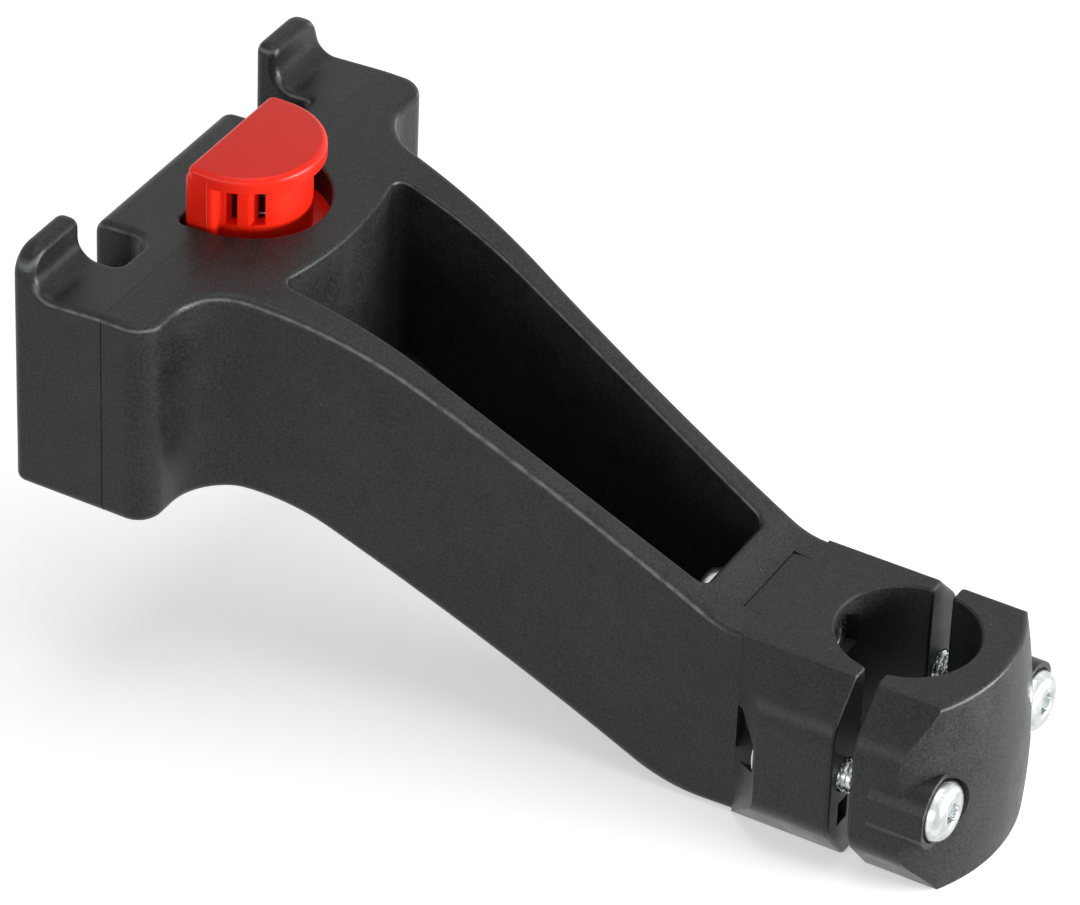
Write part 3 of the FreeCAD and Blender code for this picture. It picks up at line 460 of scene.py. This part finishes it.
@dataclass
class PartingLine:
    """The fine line where the mould halves met, which nearly fills its groove round the head.

    It runs from the mouth of the well over the deck, down the end of the head and under it.
    """

    y_mm: float = 136.5
    width_mm: float = 0.3
    depth_mm: float = 0.34
    deck_sunk_mm: float = 0.04
    side_sunk_mm: float = 0.15
    half_mm: float = 48.1
    top_mm: float = 63.7
    low_mm: float = 21.3
    rims_mm: tuple[float, float] = (1.6, 2.0)
    mouth_mm: float = 15.95
    seat_mm: float = 24.6
    steps: int = 8
    sharp_degrees: float = 40.0

    def path(self) -> list[tuple[float, float, float, float]]:
        """Lists the points of the line on the right side as X, Z and the outward direction."""
        points = [(self.mouth_mm, self.top_mm, 0.0, 1.0)]
        high, low = self.rims_mm
        corners = ((high, self.top_mm - high, 90.0), (low, self.low_mm + low, 0.0))
        for radius, level, start in corners:
            for step in range(self.steps + 1):
                angle = math.radians(start - 90.0 * step / self.steps)
                out_x, out_z = math.cos(angle), math.sin(angle)
                x, z = self.half_mm - radius + radius * out_x, level + radius * out_z
                points.append((x, z, out_x, out_z))
        points.append((self.seat_mm, self.low_mm, 0.0, -1.0))
        return points

    def build(self, palette: Palette) -> list[str]:
        """Builds the line on both sides of the head.

        Args:
            palette: the finishes.

        Returns:
            The names of the two pieces.
        """
        names = []
        for side, word in ((-1, "left"), (1, "right")):
            shape = bmesh.new()
            rings = [self.section(shape, side, point) for point in self.path()]
            bridge(shape, rings)
            shape.faces.new(rings[0])
            shape.faces.new(rings[-1])
            bmesh.ops.recalc_face_normals(shape, faces=shape.faces)
            piece = as_object(f"parting_line_{word}", shape)
            smooth(piece.data, palette.get(Finish.CHARCOAL), self.sharp_degrees)
            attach(piece, "mount")
            names.append(piece.name)
        return names

    def section(
        self, shape: bmesh.types.BMesh, side: int, point: tuple[float, float, float, float]
    ) -> list[bmesh.types.BMVert]:
        """Adds the corners of the line's section at one point of its path.

        Args:
            shape: the line's shape.
            side: 1 on the right and -1 on the left.
            point: X, Z and the outward direction there.

        Returns:
            The section's four corners.
        """
        x, z, out_x, out_z = point
        half = self.width_mm / 2
        skin = self.deck_sunk_mm + (self.side_sunk_mm - self.deck_sunk_mm) * out_x
        corners = ((skin, -half), (skin, half), (self.depth_mm, half), (self.depth_mm, -half))
        spots = [
            (side * (x - sunk * out_x), self.y_mm + across, z - sunk * out_z)
            for sunk, across in corners
        ]
        return [shape.verts.new(Vector(spot) * MM) for spot in spots]


@dataclass
class PushButton:
    """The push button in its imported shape, with the front slot of each side cut to a dark depth."""

    node: str = "release_button"
    floor_mm: float = 8.6
    middle_y_mm: float = 128.8
    width_mm: float = 2.2
    # From the deepened floor to a point outside the button, as distances from its middle plane.
    reach_mm: tuple[float, float] = (4.6, 12.6)
    near_mm: float = 0.02
    weld_mm: float = 0.001
    clean_mm: float = 0.002
    flat_degrees: float = 0.3
    sharp_degrees: float = 30.0

    def build(self, nodes: Nodes, palette: Palette) -> str:
        """Builds the button from a copy of its node, and has it ride on its body.

        Args:
            nodes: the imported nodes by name.
            palette: the finishes.

        Returns:
            The piece's name.
        """
        shape = bmesh.new()
        shape.from_mesh(nodes[self.node].data)
        shape.transform(nodes[self.node].matrix_world)
        bmesh.ops.remove_doubles(shape, verts=shape.verts, dist=self.weld_mm * MM)
        low, high = self.levels(shape)
        piece = as_object(f"{self.node}_slotted", shape)
        cutters = [self.cutter(side, low, high) for side in (-1, 1)]
        for cutter in cutters:
            cut = piece.modifiers.new("slot", "BOOLEAN")
            cut.operation, cut.solver, cut.object = "DIFFERENCE", "EXACT", cutter
        ready = piece.evaluated_get(bpy.context.evaluated_depsgraph_get())
        piece.data = bpy.data.meshes.new_from_object(ready)
        piece.modifiers.clear()
        for cutter in cutters:
            bpy.data.objects.remove(cutter)
        self.join_flats(piece.data)
        smooth(piece.data, palette.get(Finish.RED), self.sharp_degrees)
        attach(piece, "button")
        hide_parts(self.node)
        return piece.name

    def join_flats(self, mesh: bpy.types.Mesh) -> None:
        """Joins the triangles that lie in one plane, so that the round sides shade evenly."""
        shape = bmesh.new()
        shape.from_mesh(mesh)
        bmesh.ops.remove_doubles(shape, verts=shape.verts, dist=self.clean_mm * MM)
        bmesh.ops.dissolve_degenerate(shape, edges=shape.edges, dist=self.clean_mm * MM)
        bmesh.ops.dissolve_limit(
            shape,
            angle_limit=math.radians(self.flat_degrees),
            verts=shape.verts,
            edges=shape.edges,
            delimit=set(),
        )
        shape.to_mesh(mesh)
        shape.free()

    def levels(self, shape: bmesh.types.BMesh) -> tuple[float, float]:
        """Finds the heights of the slots' lower and upper ends from the corners of their floors."""
        floor, near = self.floor_mm * MM, self.near_mm * MM
        rear = (self.middle_y_mm + self.width_mm / 2) * MM
        heights = [
            vert.co.z
            for vert in shape.verts
            if abs(abs(vert.co.x) - floor) < near and abs(vert.co.y - rear) < near
        ]
        return min(heights), max(heights)

    def cutter(self, side: int, low: float, high: float) -> bpy.types.Object:
        """Makes the block that deepens the slot on one side.

        Args:
            side: 1 on the right and -1 on the left.
            low: the slot's lower end, in metres.
            high: the slot's upper end, in metres.

        Returns:
            The block.
        """
        shape = bmesh.new()
        bmesh.ops.create_cube(shape, size=1.0)
        inner, outer = self.reach_mm
        size = ((outer - inner) * MM, self.width_mm * MM, high - low)
        middle = (side * (inner + outer) / 2 * MM, self.middle_y_mm * MM, (low + high) / 2)
        placed = Matrix.LocRotScale(Vector(middle), None, size)
        bmesh.ops.transform(shape, matrix=placed, verts=shape.verts)
        return as_object("slot cutter", shape)


@dataclass
class Mouldings:
    """The moulded arm, clamp halves, button and retainer, and the button's spring.

    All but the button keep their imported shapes.
    """

    finishes: dict[str, Finish] = field(
        default_factory=lambda: {
            "arm_frame": Finish.CHARCOAL,
            "clamp_base": Finish.CHARCOAL,
            "clamp_cap": Finish.CHARCOAL,
            "release_button": Finish.RED,
            "button_retainer": Finish.BLACK,
            "button_spring": Finish.SPRING,
        }
    )
    button: PushButton = field(default_factory=PushButton)
    parting: PartingLine = field(default_factory=PartingLine)

    def build(self, nodes: Nodes, palette: Palette) -> list[str]:
        """Dresses the nodes, builds the button and lays the parting line.

        Args:
            nodes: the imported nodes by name.
            palette: the finishes.

        Returns:
            The names of the pieces.
        """
        for name, finish in self.finishes.items():
            dress(nodes, name, palette.get(finish))
        button = self.button.build(nodes, palette)
        return [*self.finishes, button, *self.parting.build(palette)]


@dataclass(frozen=True)
class RolledThread:
    """A rolled metric thread on a shank, as a node tree whose inputs are real sizes in metres."""

    radius_mm: float = 3.0
    pitch_mm: float = 1.0
    depth_mm: float = 0.6
    plain_mm: float = 1.2
    tip_mm: float = 0.8
    rows_a_turn: int = 8
    sides: int = 40
    # Where the flanks start and end, as shares of the pitch from the middle of the groove.
    flanks: tuple[float, float] = (0.44, 0.06)
    weld_mm: float = 0.004
    # The sheet's first and last rows lie past this, and shrink to a point that closes the end.
    end_row: float = 0.4999
    inputs: tuple[str, ...] = ("Radius", "Pitch", "Depth", "Length", "Plain", "Tip")

    def tree(self) -> bpy.types.GeometryNodeTree:
        """Builds the node tree: a sheet rolled to a shank whose radius follows a helix."""
        tree = bpy.data.node_groups.new("rolled thread", "GeometryNodeTree")
        for name in self.inputs:
            tree.interface.new_socket(name, in_out="INPUT", socket_type="NodeSocketFloat")
        tree.interface.new_socket("Rows", in_out="INPUT", socket_type="NodeSocketInt")
        tree.interface.new_socket("Finish", in_out="INPUT", socket_type="NodeSocketMaterial")
        tree.interface.new_socket("Geometry", in_out="OUTPUT", socket_type="NodeSocketGeometry")
        given = add_node(tree, "NodeGroupInput").outputs
        counts = {"Vertices X": self.sides + 1, "Vertices Y": given["Rows"]}
        sheet = add_node(tree, "GeometryNodeMeshGrid", {"Size X": 1.0, "Size Y": 1.0, **counts})
        steps = (
            ("GeometryNodeSetPosition", {"Position": self.rolled_place(tree, given)}),
            ("GeometryNodeMergeByDistance", {"Distance": self.weld_mm * MM}),
            ("GeometryNodeRealizeInstances", {}),
            ("GeometryNodeSetMaterial", {"Material": given["Finish"]}),
        )
        geometry = sheet.outputs["Mesh"]
        for kind, inputs in steps:
            geometry = add_node(tree, kind, {"Geometry": geometry, **inputs}).outputs[0]
        add_node(tree, "NodeGroupOutput", {"Geometry": geometry})
        return tree

    def rolled_place(self, tree: Tree, given: bpy.types.NodeOutputs) -> Socket:
        """Works out where each point of the sheet goes.

        Args:
            tree: the tree that gets the nodes.
            given: the tree's named inputs.

        Returns:
            The position on the threaded shank, which runs up local Z.
        """
        spot = add_node(tree, "GeometryNodeInputPosition").outputs[0]
        flat = add_node(tree, "ShaderNodeSeparateXYZ", {0: spot}).outputs
        turn = reckon(tree, "ADD", flat["X"], 0.5)
        along = reckon(tree, "ADD", flat["Y"], 0.5)
        height = reckon(tree, "MULTIPLY", along, given["Length"])
        lead = reckon(tree, "SUBTRACT", reckon(tree, "DIVIDE", height, given["Pitch"]), turn)
        away = reckon(tree, "ABSOLUTE", reckon(tree, "SUBTRACT", reckon(tree, "FRACT", lead), 0.5))
        groove = spread(tree, away, *self.flanks)
        past = reckon(tree, "SUBTRACT", height, given["Plain"])
        start = reckon(tree, "DIVIDE", past, given["Pitch"])
        cut = reckon(tree, "MULTIPLY", groove, spread(tree, start, 0.0, 1.0))
        sunk = reckon(tree, "MULTIPLY", cut, given["Depth"])
        threaded = reckon(tree, "SUBTRACT", given["Radius"], sunk)
        left = reckon(tree, "SUBTRACT", given["Length"], height)
        cone = reckon(tree, "ADD", reckon(tree, "SUBTRACT", given["Radius"], given["Tip"]), left)
        radius = reckon(tree, "MINIMUM", threaded, cone)
        inside = reckon(tree, "LESS_THAN", reckon(tree, "ABSOLUTE", flat["Y"]), self.end_row)
        radius = reckon(tree, "MULTIPLY", radius, inside)
        angle = reckon(tree, "MULTIPLY", turn, math.tau)
        across = reckon(tree, "MULTIPLY", radius, reckon(tree, "COSINE", angle))
        deep = reckon(tree, "MULTIPLY", radius, reckon(tree, "SINE", angle))
        place = {"X": across, "Y": deep, "Z": height}
        return add_node(tree, "ShaderNodeCombineXYZ", place).outputs[0]

    def shank(self, length_mm: float, material: bpy.types.Material) -> bpy.types.Mesh:
        """Makes a plain mesh of a threaded shank.

        Args:
            length_mm: from the head's seat to the tip.
            material: its finish.

        Returns:
            The mesh, with its seat at the origin and its tip up local Z.
        """
        tree = self.tree()
        thread = (self.radius_mm, self.pitch_mm, self.depth_mm)
        sizes = (*thread, length_mm, self.plain_mm, self.tip_mm)
        values: dict[str, object] = {name: size * MM for name, size in zip(self.inputs, sizes)}
        values["Rows"] = int(length_mm / self.pitch_mm * self.rows_a_turn) + 1
        values["Finish"] = material
        holder = bpy.data.objects.new("shank", bpy.data.meshes.new("shank"))
        bpy.context.collection.objects.link(holder)
        modifier = holder.modifiers.new("thread", "NODES")
        modifier.node_group = tree
        for socket in tree.interface.items_tree:
            if socket.in_out == "INPUT":
                modifier[socket.identifier] = values[socket.name]
        ready = holder.evaluated_get(bpy.context.evaluated_depsgraph_get())
        mesh = bpy.data.meshes.new_from_object(ready)
        holder.modifiers.clear()
        bpy.data.objects.remove(holder)
        return mesh


class Facing(Enum):
    """Which way the tip of a screw points."""

    ARM = 1
    POST = -1


@dataclass
class SocketScrew:
    """A domed screw with a hexagon socket and a rolled thread, in place of its packed stand-in."""

    node: str
    body: str
    facing: Facing
    head_radius_mm: float
    head_height_mm: float
    key_mm: float = 4.0
    key_depth_mm: float = 2.1
    flat_share: float = 0.56
    rim_mm: float = 0.7
    thread: RolledThread = RolledThread()
    points: int = 96
    dome_steps: int = 12
    dome_power: float = 0.9
    sharp_degrees: float = 32.0

    def build(self, palette: Palette) -> str:
        """Builds the screw where its node is, and has it ride on its body.

        Args:
            palette: the finishes.

        Returns:
            The piece's name.
        """
        low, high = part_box(self.node)
        length = (high[1] - low[1]) / MM - self.head_height_mm
        material = palette.get(Finish.ZINC)
        shape = bmesh.new()
        shape.from_mesh(self.thread.shank(length, material))
        self.add_head(shape)
        bmesh.ops.recalc_face_normals(shape, faces=shape.faces)
        bmesh.ops.transform(shape, matrix=self.place(low, high), verts=shape.verts)
        piece = as_object(f"{self.node}_threaded", shape)
        smooth(piece.data, material, self.sharp_degrees)
        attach(piece, self.body)
        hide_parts(self.node)
        return piece.name

    def place(self, low: Vector, high: Vector) -> Matrix:
        """Gives the turn and place that stand local Z along the node's own axis.

        Args:
            low: the node's lowest corner.
            high: the node's highest corner.

        Returns:
            The matrix from the screw's own frame to the object's.
        """
        sign = self.facing.value
        outer = low[1] if sign > 0 else high[1]
        seat = outer + sign * self.head_height_mm * MM
        middle_x, middle_z = (low[0] + high[0]) / 2, (low[2] + high[2]) / 2
        rows = ((1, 0, 0, middle_x), (0, 0, sign, seat), (0, -sign, 0, middle_z), (0, 0, 0, 1))
        return Matrix(rows)

    def rings(self) -> list[tuple[float, float, float]]:
        """Lists the rings of the head as radius, height and how far it is a hexagon, 0 to 1."""
        radius, height, rim = self.head_radius_mm, self.head_height_mm, self.rim_mm
        flat = radius * self.flat_share
        # From inside the shank out over the seat and its rounded edge.
        root = self.thread.radius_mm - self.thread.depth_mm
        rings = [(root, 0.05, 0.0), (radius - 0.35, 0.0, 0.0)]
        rings += [(radius - 0.1, -0.08, 0.0), (radius, -0.3, 0.0)]
        # Over the dome to the flat on its top.
        for step in range(self.dome_steps + 1):
            angle = math.pi / 2 * step / self.dome_steps
            reach = flat + (radius - flat) * math.cos(angle) ** self.dome_power
            rings.append((reach, -rim - (height - rim) * math.sin(angle), 0.0))
        # Round the mouth of the socket, down its six sides and to the point of the drilled cone.
        key, floor = self.key_mm / 2, self.key_depth_mm - height
        rings += [(flat - 0.25, -height - 0.02, 0.0), (key * 1.22, -height, 0.0)]
        rings += [(key * 1.12, -height + 0.12, 0.4), (key, -height + 0.3, 1.0)]
        rings += [(key, floor, 1.0), (key * 0.82, floor + 0.05, 0.0), (0.02, floor + 0.8, 0.0)]
        return rings

    def add_head(self, shape: bmesh.types.BMesh) -> None:
        """Adds the domed head, its socket and the drilled cone, closed inside the shank."""
        loops = []
        half_side = math.pi / 6
        for radius, height, corner in self.rings():
            loop = []
            for index in range(self.points):
                angle = math.tau * index / self.points
                sixth = (angle + half_side) % (2 * half_side) - half_side
                reach = radius * ((1 - corner) + corner / math.cos(sixth))
                turned = angle + half_side
                spot = (reach * math.cos(turned), reach * math.sin(turned), height)
                loop.append(shape.verts.new(Vector(spot) * MM))
            loops.append(loop)
        bridge(shape, loops)
        shape.faces.new(loops[0][::-1])
        shape.faces.new(loops[-1])


@dataclass
class Hardware:
    """Two clamp bolts and two arm screws with real threads, and the smaller steel pieces."""

    # Radius and height of the heads.
    bolt_head_mm: tuple[float, float] = (5.8, 3.4)
    screw_head_mm: tuple[float, float] = (5.2, 4.0)
    zinc: tuple[str, ...] = (
        "clamp_nut_left",
        "clamp_nut_right",
        "arm_nut_upper",
        "arm_nut_lower",
        "arm_washer_upper",
        "arm_washer_lower",
    )
    dark: tuple[str, ...] = ("retainer_screw_left", "retainer_screw_right")

    def screws(self) -> list[SocketScrew]:
        """Lists the four threaded screws."""
        bolts = [
            SocketScrew(f"clamp_bolt_{side}", f"bolt_{side}", Facing.ARM, *self.bolt_head_mm)
            for side in ("left", "right")
        ]
        arm = [
            SocketScrew(f"arm_screw_{level}", "mount", Facing.POST, *self.screw_head_mm)
            for level in ("upper", "lower")
        ]
        return bolts + arm

    def build(self, nodes: Nodes, palette: Palette) -> list[str]:
        """Builds the screws and dresses the rest.

        Args:
            nodes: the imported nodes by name.
            palette: the finishes.

        Returns:
            The names of the pieces.
        """
        names = [screw.build(palette) for screw in self.screws()]
        for name in self.zinc:
            dress(nodes, name, palette.get(Finish.ZINC))
        for name in self.dark:
            dress(nodes, name, palette.get(Finish.DARK_STEEL))
        return names + list(self.zinc + self.dark)


@dataclass
class SoftBox:
    """One rectangular studio lamp aimed at a point of the mount."""

    name: str
    place: tuple[float, float, float]
    size: tuple[float, float]
    watts: float
    aim: tuple[float, float, float] = (0.0, 0.07, 0.02)

    def build(self) -> None:
        """Hangs the lamp."""
        lamp = bpy.data.lights.new(self.name, "AREA")
        lamp.shape = "RECTANGLE"
        lamp.size, lamp.size_y = self.size
        lamp.energy = self.watts
        holder = bpy.data.objects.new(self.name, lamp)
        holder.location = self.place
        towards = Vector(self.aim) - Vector(self.place)
        holder.rotation_euler = towards.to_track_quat("-Z", "Y").to_euler()
        bpy.context.collection.objects.link(holder)


@dataclass
class Studio:
    """A white floor, a white surround and soft lamps at a plain level."""

    floor_radius: float = 2.5
    floor_sides: int = 96
    floor_middle_y: float = 0.07
    floor_colour: str = "#f2f2f1"
    floor_roughness: float = 0.6
    floor_gap_mm: float = 0.2
    ambient: float = 0.27
    glow: float = 0.42
    lamps: list[SoftBox] = field(
        default_factory=lambda: [
            SoftBox("low strip on the left", (-0.95, 0.15, 0.22), (1.5, 0.4), 4.4),
            SoftBox("low box before the clamp", (0.1, -0.33, 0.07), (0.3, 0.1), 3.1),
            SoftBox("top box", (0.0, 0.1, 0.95), (0.7, 0.7), 2.5),
        ]
    )

    def build(self) -> None:
        """Makes the floor, the surround and the lamps."""
        self.build_floor()
        self.build_surround()
        for lamp in self.lamps:
            lamp.build()

    def build_floor(self) -> None:
        """Makes a round floor just under the mount and marks it as stage."""
        low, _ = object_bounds()
        shape = bmesh.new()
        bmesh.ops.create_circle(
            shape, cap_ends=True, segments=self.floor_sides, radius=self.floor_radius
        )
        floor = as_object("studio_floor", shape)
        floor.location = (0.0, self.floor_middle_y, low.z - self.floor_gap_mm * MM)
        floor.data.materials.append(self.floor_material())
        floor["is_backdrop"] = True

    def floor_material(self) -> bpy.types.Material:
        """Gives matt white paper that also shows white in the metal's reflections."""
        material, tree = new_material("matt white paper")
        ray = add_node(tree, "ShaderNodeLightPath")
        dull = {"Color": linear(self.floor_colour), "Roughness": self.floor_roughness}
        paper = add_node(tree, "ShaderNodeBsdfDiffuse", dull).outputs[0]
        lift = reckon(tree, "MULTIPLY", ray.outputs["Is Camera Ray"], self.glow)
        white = linear("#ffffff")
        raised = add_node(tree, "ShaderNodeEmission", {"Color": white, "Strength": lift}).outputs[0]
        seen = add_node(tree, "ShaderNodeAddShader", {0: paper, 1: raised}).outputs[0]
        even = add_node(tree, "ShaderNodeEmission", {"Color": white, "Strength": 1.0}).outputs[0]
        mirrored = reckon(
            tree, "MAXIMUM", ray.outputs["Is Glossy Ray"], ray.outputs["Is Transmission Ray"]
        )
        close_material(tree, add_node(tree, "ShaderNodeMixShader", {0: mirrored, 1: seen, 2: even}))
        return material

    def build_surround(self) -> None:
        """Makes the world white to the camera and in reflections, and a soft light elsewhere."""
        world = bpy.data.worlds.new("white surround")
        world.use_nodes = True
        tree = world.node_tree
        tree.nodes.clear()
        ray = add_node(tree, "ShaderNodeLightPath")
        through = reckon(
            tree, "MAXIMUM", ray.outputs["Is Camera Ray"], ray.outputs["Is Transmission Ray"]
        )
        seen = reckon(tree, "MAXIMUM", through, ray.outputs["Is Glossy Ray"])
        level = spread(tree, seen, 0.0, 1.0, self.ambient, 1.0)
        inputs = {"Color": linear("#ffffff"), "Strength": level}
        light = add_node(tree, "ShaderNodeBackground", inputs)
        add_node(tree, "ShaderNodeOutputWorld", {"Surface": light.outputs[0]})
        bpy.context.scene.world = world


@dataclass
class Shot:
    """The camera, as fitted to the straight edges of the mount in the photograph."""

    azimuth: float = -61.5
    elevation: float = 35.79
    roll: float = 2.32
    distance_mm: float = 1138.0
    aim_mm: tuple[float, float, float] = (-16.68, 65.65, 43.13)
    focal_px: float = 6507.2
    width_px: float = 1080.0
    sensor_mm: float = 36.0
    clip: tuple[float, float] = (0.05, 20.0)

    def build(self) -> None:
        """Places the camera and makes it the scene's."""
        data = bpy.data.cameras.new("shot")
        data.sensor_width = self.sensor_mm
        data.sensor_fit = "HORIZONTAL"
        data.lens = self.focal_px / self.width_px * self.sensor_mm
        data.clip_start, data.clip_end = self.clip
        turn, lift = math.radians(self.azimuth), math.radians(self.elevation)
        level_part = math.cos(lift)
        back = Vector((math.sin(turn) * level_part, -math.cos(turn) * level_part, math.sin(lift)))
        camera = bpy.data.objects.new("shot", data)
        camera.rotation_mode = "QUATERNION"
        level = (-back).to_track_quat("-Z", "Y").to_matrix().to_4x4()
        turned = level @ Matrix.Rotation(math.radians(self.roll), 4, "Z")
        camera.rotation_quaternion = turned.to_quaternion()
        camera.location = (Vector(self.aim_mm) + back * self.distance_mm) * MM
        bpy.context.collection.objects.link(camera)
        bpy.context.scene.camera = camera


def main() -> None:
    """Loads the frame, dresses it and sets up the studio and the camera."""
    logging.basicConfig(level=logging.INFO, format="%(message)s")
    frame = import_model()
    bpy.context.scene.view_settings.view_transform = "Standard"
    palette = Palette()
    for assembly in (Mouldings(), Hardware()):
        for name in assembly.build(frame["nodes"], palette):
            LOG.info("piece %s", name)
    Studio().build()
    Shot().build()


if __name__ == "__main__":
    main()
